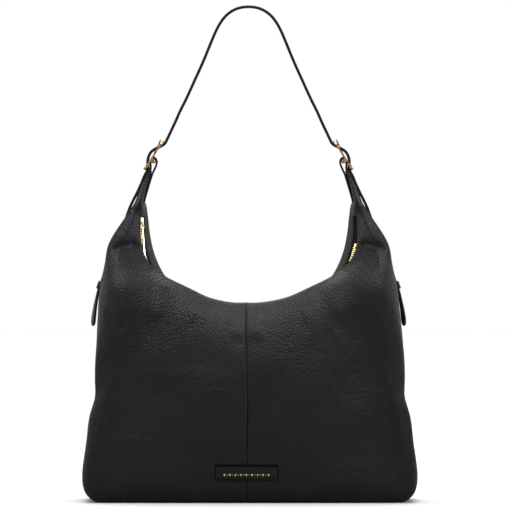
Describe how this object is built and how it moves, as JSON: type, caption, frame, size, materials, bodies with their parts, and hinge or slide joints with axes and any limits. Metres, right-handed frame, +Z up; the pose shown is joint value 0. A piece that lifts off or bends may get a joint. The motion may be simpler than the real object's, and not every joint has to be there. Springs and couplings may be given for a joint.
{
  "type": "hobo bag",
  "caption": "Soft pebbled-leather hobo bag with two raised corners, a curved zip between them, centre-bar buckles and a shoulder strap.",
  "frame": {"origin": "centre of the underside, on the surface the bag stands on", "axes": "+Z up, +X towards the bag's right as seen from the front, -Y is the front with the patch and the pull"},
  "size_m": [0.3888, 0.1348, 0.5752],
  "materials": {
    "bag_leather": "pebbled, semi-matt",
    "strap_leather": "pebbled, painted edges",
    "patch_leather": "fine grain, foil line",
    "lining_cloth": "woven cotton",
    "zip_tape": "woven tape",
    "zip_metal": "polished pale gold",
    "buckle_metal": "antique gold",
    "board": "fibre board"
  },
  "bodies": {
    "bag": {"front_panel_left": "bag_leather", "front_panel_right": "bag_leather", "back_panel_left": "bag_leather", "back_panel_right": "bag_leather", "side_gusset_left": "bag_leather", "side_gusset_right": "bag_leather", "base_panel": "bag_leather", "base_board": "board", "lining": "lining_cloth", "inner_pocket": "lining_cloth", "zip_tape_front": "zip_tape", "zip_tape_back": "zip_tape", "zip_teeth_front": "zip_metal", "zip_teeth_back": "zip_metal", "zip_top_stop": "zip_metal", "zip_bottom_stop": "zip_metal", "strap_tail_left": "strap_leather", "strap_tail_right": "strap_leather", "strap_keeper_left": "strap_leather", "strap_keeper_right": "strap_leather", "label_patch": "patch_leather"},
    "slider": {"zip_slider": "zip_metal"},
    "pull_link": {"zip_pull_link": "zip_metal"},
    "pull_bar": {"zip_pull_bar": "zip_metal"},
    "handle": {"shoulder_strap": "strap_leather", "neck_left": "bag_leather", "neck_right": "bag_leather", "buckle_tab_left": "strap_leather", "buckle_tab_right": "strap_leather", "buckle_frame_left": "buckle_metal", "buckle_frame_right": "buckle_metal", "buckle_prong_left": "buckle_metal", "buckle_prong_right": "buckle_metal"}
  },
  "joints": [
    {"name": "zip_slide", "type": "hinge", "parent": "bag", "child": "slider", "pos_m": [0, 0, 0.322], "axis": [0, -1, 0], "range_deg": [0, 165]},
    {"name": "pull_link_swing", "type": "hinge", "parent": "slider", "child": "pull_link", "pos_m": [-0.12413, -0.00262, 0.32457], "axis": [-0.6154, -0.788, 0.0172], "range_deg": [0, 75]},
    {"name": "pull_bar_swing", "type": "hinge", "parent": "pull_link", "child": "pull_bar", "pos_m": [-0.12355, -0.00325, 0.31621], "axis": [-0.6154, -0.788, 0.0172], "range_deg": [0, 45]},
    {"name": "strap_swing", "type": "hinge", "parent": "bag", "child": "handle", "pos_m": [0, 0, 0.349], "axis": [1, 0, 0], "range_deg": [-85, 85]}
  ]
}
